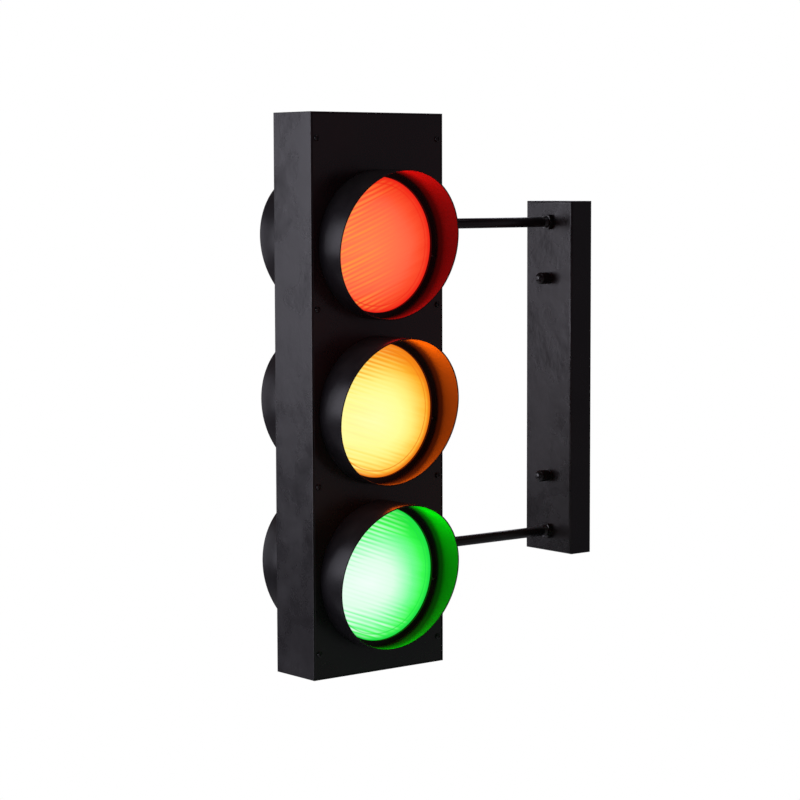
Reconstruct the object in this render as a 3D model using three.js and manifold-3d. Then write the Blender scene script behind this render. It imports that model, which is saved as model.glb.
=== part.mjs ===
// Double-sided traffic light wall lamp: a folded steel box with three lit lenses and hoods on the
// front and on the rear, two tube arms and a wall canopy. Millimetres, +Z up. The wall is the plane
// x = 0 and the lamp stands out towards -X. Its front faces -Y. The origin is the middle of the
// wall bracket's back face.

import * as THREE from 'three';
import { mergeVertices } from 'three/addons/utils/BufferGeometryUtils.js';
import Module from 'manifold-3d';

// ---- driving dimensions ----------------------------------------------------------------------

const gap = 0.3; // left between pieces that touch
const sheet = 1.2; // steel sheet of the box, panel, hoods and canopy

const head = { width: 148.5, depth: 55.5, height: 500 }; // the box
const headDrop = 1.8; // its centre below the canopy's centre
const lampPitch = 147.6; // between lens centres
const middleLampZ = -14.3; // amber lens, from the box's centre
const lensOpening = 60.2; // radius of the openings that show the lenses

const hood = { radius: 66.5, middleLength: 31, slant: 11.8 };
const lens = { radius: 61.6, thickness: 3, rise: 4.2 };
const ring = { outer: 66, inner: 57.5, thickness: 1.2 };

const panelScrew = {
  x: 68, zOuter: 227, zInner: 78, shaft: 1.5, headRadius: 2.8, headHeight: 1.9, length: 8,
};
const returnWidth = 5; // front return of the box, behind the panel
const lug = { width: 11.2, height: 14 }; // wider place in the return for each panel screw

const rail = { depth: 8, width: 30, height: 420, sheet: 1.5 };
const holder = { radius: 19.5, length: 38, wall: 4.4, floor: 9, nipple: 5, nippleLength: 4 };
const bulb = {
  globeRadius: 22.5, neckRadius: 11.5, glass: 1.2,
  capRadius: 13, capWall: 0.9, capLength: 26, capFloor: 8,
  inCap: 10, // how far the glass neck stands in the cap
  length: 78,
};
const bulbTip = 28; // how far the bulb's tip is past the lens centre

const arm = { radius: 4.75, bore: 3.6, z: 148.5, intoHead: 10, intoCanopy: 8 };
const armNut = { acrossCorners: 16.2, thickness: 4 };
const canopy = { width: 64, depth: 25.5, height: 337 };
const canopyFaceToHead = 155.3;

const bracket = { width: 42, height: 290, thickness: 2 };
const wallSlot = { radius: 2.75, halfTravel: 5, z: 125 };
const cableHole = { radius: 9, z: 42 };
const stud = { radius: 2.5, z: 95, length: 33, headRadius: 4.1, headHeight: 1, chamfer: 0.8 };
const capNut = { radius: 5.6, length: 13, boreDepth: 10.5 };
const nutWasher = { radius: 6, thickness: 0.9 };

const terminal = {
  x: [-17, -3], halfWidth: 11, z: [-32, -8],
  wayX: -8, wayY: 5.5, wellZ: [-26, -14], wellRadius: 2.2, wellDepth: 5, wireRadius: 1.9, wireDepth: 3,
};
const wire = { feedRadius: 2.3, tailRadius: 1.6, branchRadius: 1.28, earthRadius: 1.3 };

// Facets round a circle. "hood" is also used for openings, "disc" for lenses, rings and globes.
const facets = { hood: 40, disc: 28, holder: 20, small: 12, screw: 8, cable: 6 };

// ---- places worked out from them -------------------------------------------------------------

const headX = -(canopy.depth + canopyFaceToHead + head.width / 2);
const headZ = -headDrop;
const innerX = head.width / 2 - sheet;
const innerY = head.depth / 2 - sheet;
const faceY = head.depth / 2;
const wiringX = -innerX + 3.6; // middle of the rail's channel
const wiringY = 8.6;
const tailStart = 10; // from the rail's top to where the feed cable meets the tails
const lamps = [
  { colour: 'red', z: middleLampZ + lampPitch },
  { colour: 'amber', z: middleLampZ },
  { colour: 'green', z: middleLampZ - lampPitch },
];
const armLevels = [
  { level: 'upper', z: arm.z },
  { level: 'lower', z: -arm.z },
];
const panelScrewPlaces = [];
for (const z of [panelScrew.zOuter, panelScrew.zInner, -panelScrew.zInner, -panelScrew.zOuter]) {
  for (const x of [-panelScrew.x, panelScrew.x]) panelScrewPlaces.push({ x, z });
}

// ---- materials -------------------------------------------------------------------------------

const finish = (color, roughness, metalness, extra = {}) =>
  new THREE.MeshStandardMaterial({ color, roughness, metalness, ...extra });

const blackPaint = finish(0x17161a, 0.42, 0.3);
const zincSteel = finish(0xa9adb2, 0.38, 0.9);
const phenolic = finish(0x1c1a19, 0.5, 0);
const nickel = finish(0xc4bfb4, 0.3, 1);
const opalGlass = finish(0xfbf6ea, 0.25, 0);
const blockNylon = finish(0xe8e6df, 0.55, 0);
const cableSheath = finish(0x202022, 0.6, 0);
const earthSheath = finish(0x8aa32a, 0.6, 0);
const lensGlass = {
  red: finish(0xd8210f, 0.2, 0, { transparent: true, opacity: 0.85 }),
  amber: finish(0xf2930c, 0.2, 0, { transparent: true, opacity: 0.85 }),
  green: finish(0x12b53f, 0.2, 0, { transparent: true, opacity: 0.85 }),
};

// ---- solids ----------------------------------------------------------------------------------

const wasm = await Module();
wasm.setup();

// A closed three.js geometry as a solid: vertices merged, triangles of no area left out.
function solid(geometry, matrix) {
  const shape = geometry.clone();
  if (matrix) shape.applyMatrix4(matrix);
  shape.deleteAttribute('normal');
  shape.deleteAttribute('uv');
  const merged = mergeVertices(shape, 1e-4);
  const corners = [];
  for (let i = 0; i < merged.index.count; i += 3) {
    const [a, b, c] = [0, 1, 2].map((k) => merged.index.getX(i + k));
    if (a !== b && b !== c && c !== a) corners.push(a, b, c);
  }
  const mesh = new wasm.Mesh({
    numProp: 3,
    vertProperties: new Float32Array(merged.attributes.position.array),
    triVerts: new Uint32Array(corners),
  });
  return new wasm.Manifold(mesh);
}

function geometryOf(manifold) {
  const mesh = manifold.getMesh();
  const geometry = new THREE.BufferGeometry();
  geometry.setAttribute('position', new THREE.BufferAttribute(new Float32Array(mesh.vertProperties), 3));
  geometry.setIndex(new THREE.BufferAttribute(new Uint32Array(mesh.triVerts), 1));
  geometry.computeVertexNormals();
  return geometry;
}

function cut(body, cutters) {
  return cutters.reduce((rest, cutter) => rest.subtract(cutter), body);
}

function join(solids) {
  return solids.reduce((whole, piece) => whole.add(piece));
}

function block(x, y, z) {
  const geometry = new THREE.BoxGeometry(x[1] - x[0], y[1] - y[0], z[1] - z[0]);
  geometry.translate((x[0] + x[1]) / 2, (y[0] + y[1]) / 2, (z[0] + z[1]) / 2);
  return solid(geometry);
}

// Turns that lay a shape made about +Y along another axis.
const alongX = new THREE.Matrix4().makeRotationZ(-Math.PI / 2);
const alongZ = new THREE.Matrix4().makeRotationX(Math.PI / 2);

function place(x, y, z) {
  return new THREE.Matrix4().makeTranslation(x, y, z);
}

// Cylinder along Y through (x, z), from y[0] to y[1].
function rodY(radius, y, x, z, sides) {
  const geometry = new THREE.CylinderGeometry(radius, radius, y[1] - y[0], sides);
  return solid(geometry, place(x, (y[0] + y[1]) / 2, z));
}

// Cylinder along X through (y, z), from x[0] to x[1].
function rodX(radius, x, y, z, sides) {
  const geometry = new THREE.CylinderGeometry(radius, radius, x[1] - x[0], sides);
  return solid(geometry, place((x[0] + x[1]) / 2, y, z).multiply(alongX));
}

// Cylinder along Z through (x, y), from z[0] to z[1].
function rodZ(radius, x, y, z, sides) {
  const geometry = new THREE.CylinderGeometry(radius, radius, z[1] - z[0], sides);
  return solid(geometry, place(x, y, (z[0] + z[1]) / 2).multiply(alongZ));
}

// Outline of [radius, height] points turned about +Y. The outline runs with the solid on its left.
function turned(points, sides) {
  return new THREE.LatheGeometry(points.map(([r, y]) => new THREE.Vector2(r, y)), sides);
}

function closed(points) {
  return [...points, points[0]];
}

// Tube of round section along points joined by a smooth curve.
function cable(points, radius, steps, sides) {
  const route = new THREE.CatmullRomCurve3(points.map((p) => new THREE.Vector3(...p)), false, 'centripetal');
  const section = new THREE.Shape();
  for (let i = 0; i < sides; i += 1) {
    const turn = (2 * Math.PI * i) / sides;
    const corner = [radius * Math.cos(turn), radius * Math.sin(turn)];
    if (i === 0) section.moveTo(...corner);
    else section.lineTo(...corner);
  }
  section.closePath();
  return new THREE.ExtrudeGeometry(section, { steps, extrudePath: route, bevelEnabled: false });
}

function named(name, geometry, material, x = 0, y = 0, z = 0) {
  const mesh = new THREE.Mesh(geometry, material);
  mesh.name = name;
  mesh.position.set(x, y, z);
  return mesh;
}

// ---- head ------------------------------------------------------------------------------------

function housingShell() {
  const halfW = head.width / 2;
  const halfH = head.height / 2;
  const behindPanel = -faceY + sheet + gap;
  const cutters = [
    block([-innerX, innerX], [behindPanel + sheet, innerY], [-halfH + sheet, halfH - sheet]),
    block([-innerX, innerX], [-faceY - 1, behindPanel], [-halfH + sheet, halfH - sheet]),
    block(
      [-innerX + returnWidth, innerX - returnWidth],
      [-faceY - 1, behindPanel + sheet + 1],
      [-halfH + sheet + returnWidth, halfH - sheet - returnWidth],
    ),
    ...lamps.map(({ z }) => rodY(lensOpening, [innerY - 1, faceY + 1], 0, z, facets.hood)),
    ...armLevels.map(({ z }) => rodX(arm.radius + gap, [innerX - 1, halfW + 1], 0, z - headZ, facets.small)),
  ];
  const box = cut(block([-halfW, halfW], [-faceY, faceY], [-halfH, halfH]), cutters);
  const lugs = panelScrewPlaces.map(({ x, z }) => {
    const ends = [innerX + sheet / 2, innerX - lug.width].map((reach) => Math.sign(x) * reach);
    return block(
      [Math.min(...ends), Math.max(...ends)],
      [behindPanel, behindPanel + sheet],
      [z - lug.height / 2, z + lug.height / 2],
    );
  });
  const holes = panelScrewPlaces.map(({ x, z }) =>
    rodY(panelScrew.shaft + gap, [behindPanel - 1, behindPanel + sheet + 1], x, z, facets.screw));
  return geometryOf(cut(join([box, ...lugs]), holes));
}

function frontPanel() {
  const halfW = innerX - gap;
  const halfH = head.height / 2 - sheet - gap;
  const openings = lamps.map(({ z }) => rodY(lensOpening, [-faceY - 1, -innerY + 1], 0, z, facets.hood));
  const holes = panelScrewPlaces.map(({ x, z }) =>
    rodY(panelScrew.shaft + gap, [-faceY - 1, -innerY + 1], x, z, facets.screw));
  const plate = block([-halfW, halfW], [-faceY, -innerY], [-halfH, halfH]);
  return geometryOf(cut(plate, [...openings, ...holes]));
}

// Pan head screw about +Y, its head's underside at y = 0 and its shaft towards -Y.
function panScrew() {
  const { shaft, headRadius, headHeight, length } = panelScrew;
  return turned([
    [0, -length], [shaft, -length], [shaft, 0], [headRadius, 0],
    [headRadius, headHeight * 0.45], [headRadius * 0.62, headHeight], [0, headHeight],
  ], facets.screw);
}

// Hood about +Y, standing on y = 0: a tube cut off at a slant, longest at +Z, with a base flange.
function hoodTube() {
  const { radius, middleLength, slant } = hood;
  const inner = radius - sheet;
  const longest = middleLength + slant + 5; // past the slanted cut all round
  const tube = solid(turned(closed([
    [lensOpening, 0], [radius, 0], [radius, longest], [inner, longest], [inner, sheet], [lensOpening, sheet],
  ]), facets.hood));
  const side = 4 * radius;
  const waste = new THREE.BoxGeometry(side, side, side).translate(0, side / 2, 0);
  const tilt = Math.atan2(slant, radius);
  const toCut = place(0, middleLength, 0).multiply(new THREE.Matrix4().makeRotationX(-tilt));
  return geometryOf(tube.subtract(solid(waste, toCut)));
}

// Domed disc about +Y: a flat rim from y = 0 and a dome that rises towards +Y.
function lensDisc() {
  const { radius, thickness, rise } = lens;
  const rimInner = radius - 4;
  const part = { radius: rimInner * 0.6, rise: rise * 0.75 };
  return turned([
    [0, rise], [part.radius, part.rise], [rimInner, 0], [radius, 0], [radius, thickness],
    [rimInner, thickness], [part.radius, thickness + part.rise], [0, thickness + rise],
  ], facets.disc);
}

// Joggled ring about +Y: its outer part lies on y = 0, its lip is set back behind the lens's rim.
function lensRing() {
  const { outer, inner, thickness } = ring;
  const back = -(lens.thickness + gap);
  const web = lens.radius + gap;
  const webOuter = web + thickness;
  return turned(closed([
    [inner, back - thickness], [webOuter, back - thickness], [webOuter, -thickness],
    [outer, -thickness], [outer, 0], [web, 0], [web, back], [inner, back],
  ]), facets.disc);
}

// Lampholder about +Y: threaded nipple below y = 0, then a cup that opens towards +Y.
function lampholder() {
  const { radius, length, wall, nipple, nippleLength, floor } = holder;
  const bore = radius - wall;
  return turned([
    [0, -nippleLength], [nipple, -nippleLength], [nipple, 0], [radius * 0.8, 0], [radius, 4],
    [radius, length - 2], [radius - 1, length], [bore, length], [bore, floor], [0, floor],
  ], facets.holder);
}

// Bulb's screw cap about +Y from its contact at y = 0: a cup that the glass neck stands in.
function bulbCap() {
  const { capRadius, capWall, capLength, capFloor } = bulb;
  const inner = capRadius - capWall;
  return turned([
    [0, 0], [4.5, 0], [5.5, 2.2], [10, 5], [capRadius, 6.5], [capRadius, capLength],
    [inner, capLength], [inner, capFloor], [0, capFloor],
  ], facets.holder);
}

// Glass bulb about +Y, standing on y = 0: a thin globe on a neck that is open at its foot.
function bulbGlobe() {
  const { globeRadius, neckRadius, glass, capLength, inCap, length } = bulb;
  const middle = length - (capLength - inCap) - globeRadius;
  const steps = 6;
  const surface = (inset) => {
    const radius = globeRadius - inset;
    const start = -Math.acos((neckRadius - inset) / radius);
    const points = [[neckRadius - inset, 0]];
    for (let i = 0; i < steps; i += 1) {
      const angle = start + ((Math.PI / 2 - start) * i) / steps;
      points.push([radius * Math.cos(angle), middle + radius * Math.sin(angle)]);
    }
    return [...points, [0, middle + radius]];
  };
  return turned([...surface(glass).reverse(), ...surface(0)], facets.disc);
}

// Rail on the left wall: a shallow channel, open to the wall, with a hole for each holder.
function holderRail() {
  const x0 = -innerX + gap;
  const face = x0 + rail.depth;
  const half = rail.width / 2;
  const halfH = rail.height / 2;
  const body = block([x0, face], [-half, half], [-halfH, halfH]);
  const innerHalf = half - rail.sheet;
  const hollow = block([x0 - 1, face - rail.sheet], [-innerHalf, innerHalf], [-halfH - 1, halfH + 1]);
  const through = [face - rail.sheet - 1, face + 1];
  const holes = lamps.map(({ z }) => rodX(holder.nipple + gap, through, 0, z, facets.small));
  return geometryOf(cut(body, [hollow, ...holes]));
}

// Tails in the rail: a trunk beside the holders' nipples with a short branch to each.
function holderWiring() {
  const top = rail.height / 2 - tailStart;
  const lowest = lamps[2].z - 6; // just past the last holder
  const trunk = rodZ(wire.tailRadius, wiringX, wiringY, [lowest, top], facets.screw);
  const reach = [holder.nipple + gap, wiringY];
  const branches = lamps.map(({ z }) => rodY(wire.branchRadius, reach, wiringX, z, facets.screw));
  return geometryOf(join([trunk, ...branches]));
}

// ---- arms, canopy and wall side ----------------------------------------------------------------

// Tube about +X from x = 0.
function armTube(length) {
  const outside = rodX(arm.radius, [0, length], 0, 0, facets.holder);
  return geometryOf(outside.subtract(rodX(arm.bore, [-1, length + 1], 0, 0, facets.holder)));
}

// Hexagon lock nut about +X from x = 0.
function lockNut() {
  const hexagon = rodX(armNut.acrossCorners / 2, [0, armNut.thickness], 0, 0, 6);
  const bore = rodX(arm.radius + gap, [-1, armNut.thickness + 1], 0, 0, facets.small);
  return geometryOf(hexagon.subtract(bore));
}

function wallCanopy() {
  const { width, depth, height } = canopy;
  const half = width / 2;
  const halfH = height / 2;
  const body = block([-depth, 0], [-half, half], [-halfH, halfH]);
  const hollow = block(
    [-depth + sheet, 1], [-half + sheet, half - sheet], [-halfH + sheet, halfH - sheet],
  );
  const through = [-depth - 1, -depth + sheet + 1];
  const holes = [
    ...armLevels.map(({ z }) => rodX(arm.radius + gap, through, 0, z, facets.small)),
    ...[stud.z, -stud.z].map((z) => rodX(stud.radius + gap, through, 0, z, facets.small)),
  ];
  return geometryOf(cut(body, [hollow, ...holes]));
}

function wallBracket() {
  const { width, height, thickness } = bracket;
  const through = [-thickness - 1, 1];
  const plate = block([-thickness, 0], [-width / 2, width / 2], [-height / 2, height / 2]);
  const { radius, halfTravel } = wallSlot;
  const slots = [wallSlot.z, -wallSlot.z].map((z) => join([
    rodX(radius, through, -halfTravel, z, facets.small),
    rodX(radius, through, halfTravel, z, facets.small),
    block(through, [-halfTravel, halfTravel], [z - radius, z + radius]),
  ]));
  const cableWay = rodX(cableHole.radius, through, 0, cableHole.z, facets.holder);
  return geometryOf(cut(plate, [...slots, cableWay]));
}

// Threaded stud about -X from x = 0, with a thin head that is welded to the bracket.
function bracketStud() {
  const { radius, length, headRadius, headHeight, chamfer } = stud;
  return turned([
    [0, 0], [headRadius, 0], [headRadius, headHeight], [radius, headHeight],
    [radius, length - chamfer], [radius - chamfer, length], [0, length],
  ], facets.small);
}

// Dome nut about -X from x = 0, bored from its flat end.
function domeNut() {
  const { radius, length, boreDepth } = capNut;
  const crown = radius * 0.75;
  const arc = [0, 0.3, 0.6, 0.85].map((part) => {
    const angle = (part * Math.PI) / 2;
    return [radius * Math.cos(angle), length - crown + crown * Math.sin(angle)];
  });
  const bore = stud.radius + gap;
  return turned([
    [0, boreDepth], [bore, boreDepth - 1.5], [bore, 0], [radius - 0.5, 0], [radius, 0.5], ...arc, [0, length],
  ], facets.small);
}

function flatWasher() {
  const bore = stud.radius + gap;
  const { radius, thickness } = nutWasher;
  return turned(closed([[bore, 0], [radius, 0], [radius, thickness], [bore, thickness]]), facets.small);
}

// Two-way terminal block with its screw wells.
function terminalBlock() {
  const { x, z, halfWidth, wayX, wayY, wellZ, wellRadius, wellDepth, wireRadius, wireDepth } = terminal;
  const body = block(x, [-halfWidth, halfWidth], z);
  const wellEnds = [x[0] - 1, x[0] + wellDepth];
  const wireEnds = [z[1] - wireDepth, z[1] + 1];
  const holes = [-wayY, wayY].flatMap((y) => [
    ...wellZ.map((height) => rodX(wellRadius, wellEnds, y, height, facets.screw)),
    rodZ(wireRadius, wayX, y, wireEnds, facets.screw),
  ]);
  return geometryOf(cut(body, holes));
}

// ---- assembly --------------------------------------------------------------------------------

const lamp = new THREE.Group();
lamp.name = 'traffic_light_wall_lamp';

const headGroup = new THREE.Group();
headGroup.position.set(headX, 0, headZ);
lamp.add(headGroup);

headGroup.add(named('housing_shell', housingShell(), blackPaint));
headGroup.add(named('front_panel', frontPanel(), blackPaint));

const screwShape = geometryOf(solid(panScrew()));
panelScrewPlaces.forEach(({ x, z }, i) => {
  const screw = named(`panel_screw_${i + 1}`, screwShape, blackPaint, x, -faceY - gap, z);
  screw.rotation.z = Math.PI;
  headGroup.add(screw);
});

// The front and the rear carry the same hoods, lenses and rings. They point along Y: -1 is the
// front and 1 the rear.
const hoodShape = hoodTube();
const lensShape = geometryOf(solid(lensDisc()));
const ringShape = geometryOf(solid(lensRing()));
for (const [side, out] of [['front', -1], ['rear', 1]]) {
  for (const { colour, z } of lamps) {
    const pieces = [
      named(`hood_${side}_${colour}`, hoodShape, blackPaint, 0, out * (faceY + gap), z),
      named(`lens_${side}_${colour}`, lensShape, lensGlass[colour], 0, out * (innerY - gap - lens.thickness), z),
      named(`lens_ring_${side}_${colour}`, ringShape, zincSteel, 0, out * (innerY - gap), z),
    ];
    for (const piece of pieces) {
      if (out < 0) piece.rotation.z = Math.PI;
      headGroup.add(piece);
    }
  }
}

const railFace = -innerX + gap + rail.depth;
const capStart = bulbTip - bulb.length;
const holderShape = geometryOf(solid(lampholder()));
const capShape = geometryOf(solid(bulbCap()));
const globeShape = geometryOf(solid(bulbGlobe()));
for (const { colour, z } of lamps) {
  const pieces = [
    named(`lampholder_${colour}`, holderShape, phenolic, railFace + gap, 0, z),
    named(`bulb_cap_${colour}`, capShape, nickel, capStart, 0, z),
    named(`bulb_globe_${colour}`, globeShape, opalGlass, capStart + bulb.capLength - bulb.inCap, 0, z),
  ];
  for (const piece of pieces) {
    piece.rotation.z = -Math.PI / 2;
    headGroup.add(piece);
  }
}
headGroup.add(named('holder_rail', holderRail(), zincSteel));
headGroup.add(named('holder_wiring', holderWiring(), cableSheath));

// Arms: each tube runs from inside the canopy into the head, with a nut on both sides of each wall.
const headSideX = headX + head.width / 2;
const canopyFaceX = -canopy.depth;
const tubeStart = headSideX - sheet - arm.intoHead;
const tubeLength = canopyFaceX + sheet + arm.intoCanopy - tubeStart;
const tubeShape = armTube(tubeLength);
const nutShape = lockNut();
const nutPlaces = {
  head_inner: headSideX - sheet - gap - armNut.thickness,
  head_outer: headSideX + gap,
  canopy_outer: canopyFaceX - gap - armNut.thickness,
  canopy_inner: canopyFaceX + sheet + gap,
};
for (const { level, z } of armLevels) {
  lamp.add(named(`arm_tube_${level}`, tubeShape, blackPaint, tubeStart, 0, z));
  for (const [where, x] of Object.entries(nutPlaces)) {
    lamp.add(named(`arm_nut_${level}_${where}`, nutShape, blackPaint, x, 0, z));
  }
}

lamp.add(named('wall_canopy', wallCanopy(), blackPaint));
lamp.add(named('wall_bracket', wallBracket(), zincSteel));

const studShape = geometryOf(solid(bracketStud()));
const domeShape = geometryOf(solid(domeNut()));
const washerShape = geometryOf(solid(flatWasher()));
for (const [level, z] of [['upper', stud.z], ['lower', -stud.z]]) {
  const pieces = [
    named(`bracket_stud_${level}`, studShape, zincSteel, -bracket.thickness - gap, 0, z),
    named(`nut_washer_${level}`, washerShape, blackPaint, canopyFaceX - gap, 0, z),
    named(`cap_nut_${level}`, domeShape, blackPaint, canopyFaceX - 2 * gap - nutWasher.thickness, 0, z),
  ];
  for (const piece of pieces) {
    piece.rotation.z = Math.PI / 2;
    lamp.add(piece);
  }
}

lamp.add(named('terminal_block', terminalBlock(), blockNylon));

// Feed cable: up inside the canopy, through the upper arm, over the red lens and down into the rail.
const overRed = headZ + 224;
const railX = headX + wiringX;
const tailsTop = headZ + rail.height / 2 - tailStart;
const inCanopy = [
  [-8, 0, 2], [-9, 9, 30], [-9, 14, 80], [-8, 11, 118], [-7.5, 3, 139], [-11, 0, arm.z - 1.5],
  [-17, 0, arm.z],
];
const inArm = [-34, -100, headSideX + 4, headSideX - 12].map((x) => [x, 0, arm.z]);
const inHead = [
  [headSideX - 18, 0, arm.z + 6], [headSideX - 20, 0, arm.z + 42], [headSideX - 32, 0, overRed - 3],
  [headX, 2, overRed], [railX + 22, 6, overRed], [railX + 6, wiringY, overRed - 2],
  [railX, wiringY, overRed - 10], [railX, wiringY, tailsTop + gap],
];
const feedRoute = [...inCanopy, ...inArm, ...inHead];
const feedShape = geometryOf(solid(cable(feedRoute, wire.feedRadius, 56, facets.cable)));
lamp.add(named('feed_cable', feedShape, cableSheath));

// Earth lead: from the bracket's earth screw to the terminal block's side.
const earthRoute = [
  [-3.8, -16, -60], [-7, -15.5, -52], [-9, -14.5, -40], [-9, -13.4, -28], [-8.6, -13, -20],
];
const earthShape = geometryOf(solid(cable(earthRoute, wire.earthRadius, 12, facets.cable)));
lamp.add(named('earth_lead', earthShape, earthSheath));

export default lamp;
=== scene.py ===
# Double-sided traffic light wall lamp: the looks. Metres, +Z up. The wall is the plane x = 0, the lamp
# stands out towards -X and its front faces -Y.

import math

import bmesh
import bpy
from mathutils import Matrix, Vector


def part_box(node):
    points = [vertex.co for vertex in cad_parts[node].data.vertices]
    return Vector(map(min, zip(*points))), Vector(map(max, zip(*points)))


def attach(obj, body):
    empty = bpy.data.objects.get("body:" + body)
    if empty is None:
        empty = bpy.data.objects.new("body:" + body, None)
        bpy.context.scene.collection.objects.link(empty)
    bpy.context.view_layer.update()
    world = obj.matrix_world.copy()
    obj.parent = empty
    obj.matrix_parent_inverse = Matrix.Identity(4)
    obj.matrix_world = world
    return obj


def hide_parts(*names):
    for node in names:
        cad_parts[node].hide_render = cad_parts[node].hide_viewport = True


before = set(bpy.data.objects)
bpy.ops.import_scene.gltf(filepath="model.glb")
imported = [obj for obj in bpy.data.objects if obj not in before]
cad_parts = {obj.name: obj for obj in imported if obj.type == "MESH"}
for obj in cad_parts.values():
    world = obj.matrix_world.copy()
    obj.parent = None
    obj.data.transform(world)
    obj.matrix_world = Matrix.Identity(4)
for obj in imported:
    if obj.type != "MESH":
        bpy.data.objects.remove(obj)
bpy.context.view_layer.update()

mm = 0.001
quarterTurn = math.pi / 2
fullTurn = 2 * math.pi
colours = ["red", "amber", "green"]
levels = ["upper", "lower"]
sides = {"front": -1, "rear": 1}  # which way along Y each side of the head faces
sideBodies = {"front": "front_panel_set", "rear": "lamp"}
print("frame loaded:", len(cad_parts), "nodes")


# Places that come from the frame

def inMm(**sizes):
    return {name: size * mm for name, size in sizes.items()}


def middle(node):
    low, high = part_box(node)
    return (low + high) / 2


def atY(point, y):
    return Vector((point.x, y, point.z))


def atX(point, x):
    return Vector((x, point.y, point.z))


def roundPlace(node, fromWall=False):
    # Where a round piece that lies along X starts, and its length.
    low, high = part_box(node)
    return atX((low + high) / 2, high.x if fromWall else low.x), high.x - low.x


boxLow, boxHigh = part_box("housing_shell")
panelLow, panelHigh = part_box("front_panel")
canopyLow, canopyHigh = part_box("wall_canopy")
headMiddle = (boxLow + boxHigh) / 2
lampPlaces = {colour: atY(middle(f"hood_front_{colour}"), 0) for colour in colours}


# Bench tools: how every piece below is held, marked and cut

def letGo():
    active = bpy.context.view_layer.objects.active
    if active and active.mode != "OBJECT":
        bpy.ops.object.mode_set(mode="OBJECT")
    bpy.ops.object.select_all(action="DESELECT")


def placed(name, data):
    thing = bpy.data.objects.new(name, data)
    bpy.context.collection.objects.link(thing)
    return thing


def hold(piece):
    letGo()
    piece.select_set(True)
    bpy.context.view_layer.objects.active = piece


def settle(name):
    # The primitive just added gets its name, and its place goes into its mesh.
    piece = bpy.context.object
    piece.name = name
    piece.data.name = name
    bpy.ops.object.transform_apply(location=True, rotation=True, scale=True)
    return piece


def addBlock(name, low, high):
    letGo()
    low = Vector(low)
    high = Vector(high)
    bpy.ops.mesh.primitive_cube_add(size=1, location=(low + high) / 2, scale=high - low)
    return settle(name)


def addRod(name, radius, start, end, sidesRound=64):
    letGo()
    start = Vector(start)
    along = Vector(end) - start
    turn = along.to_track_quat("Z", "Y").to_euler()
    bpy.ops.mesh.primitive_cylinder_add(
        vertices=sidesRound, radius=radius, depth=along.length, location=start + along / 2, rotation=turn)
    return settle(name)


def drills(places, radius, along, start, end, sidesRound):
    # Cutters for round holes. They run along X or Y, as atX or atY says, from start to end.
    return [addRod("hole", radius, along(place, start), along(place, end), sidesRound) for place in places]


def pick(piece, kind, passes):
    # Opens the mesh and selects only the faces, edges or verts that pass.
    hold(piece)
    bpy.ops.object.mode_set(mode="EDIT")
    bpy.ops.mesh.select_mode(type={"faces": "FACE", "edges": "EDGE", "verts": "VERT"}[kind])
    bpy.ops.mesh.select_all(action="DESELECT")
    mesh = bmesh.from_edit_mesh(piece.data)
    for part in getattr(mesh, kind):
        if passes(part):
            part.select_set(True)
    mesh.select_flush_mode()
    bmesh.update_edit_mesh(piece.data)


def pickAll(piece):
    hold(piece)
    bpy.ops.object.mode_set(mode="EDIT")
    bpy.ops.mesh.select_mode(type="VERT")
    bpy.ops.mesh.select_all(action="SELECT")


def score(piece, place, normal, **settings):
    pickAll(piece)
    bpy.ops.mesh.bisect(plane_co=place, plane_no=normal, **settings)


def edgeMiddle(edge):
    return (edge.verts[0].co + edge.verts[1].co) / 2


def runsAlong(edge, axis):
    return abs((edge.verts[1].co - edge.verts[0].co).normalized()[axis]) > 0.99


def bendEdges(piece, passes, width, segments):
    pick(piece, "edges", passes)
    bpy.ops.mesh.bevel(offset=width, segments=segments, affect="EDGES")


def finishWith(piece, kind, **settings):
    hold(piece)
    modifier = piece.modifiers.new(kind.lower(), kind)
    for name, value in settings.items():
        setattr(modifier, name, value)
    bpy.ops.object.modifier_apply(modifier=modifier.name)


def joined(pieces):
    letGo()
    for piece in pieces:
        piece.select_set(True)
    bpy.context.view_layer.objects.active = pieces[0]
    if len(pieces) > 1:
        bpy.ops.object.join()
    return pieces[0]


def cutWith(piece, cutters, operation="DIFFERENCE"):
    cutter = joined(cutters)
    finishWith(piece, "BOOLEAN", object=cutter, operation=operation, solver="EXACT")
    hold(cutter)
    bpy.ops.object.delete()


def softenEdges(piece, width, segments=2, limit=40):
    finishWith(
        piece, "BEVEL", width=width, segments=segments, limit_method="ANGLE",
        angle_limit=math.radians(limit), use_clamp_overlap=True)


def smooth(piece, angle=35, flatFrom=3e-4):
    # Big flat faces stay flat, so that the shading of their rounded corners doesn't run across them.
    hold(piece)
    bpy.ops.object.shade_smooth_by_angle(angle=math.radians(angle))
    for face in piece.data.polygons:
        if face.area > flatFrom:
            face.use_smooth = False


def foldedSheet(name, low, high, isOpen, folds, thickness):
    # A block that is opened, bent along its edges fold by fold, and given the sheet's thickness inwards.
    piece = addBlock(name, low, high)
    pick(piece, "faces", isOpen)
    bpy.ops.mesh.delete(type="FACE")
    for passes, width, segments in folds:
        bendEdges(piece, passes, width, segments)
    finishWith(piece, "SOLIDIFY", thickness=thickness, offset=-1, use_even_offset=True)
    return piece


forwards = Vector((0, -1, 0))
backwards = Vector((0, 1, 0))
towardsArms = Vector((1, 0, 0))
fromWall = Vector((-1, 0, 0))


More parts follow.
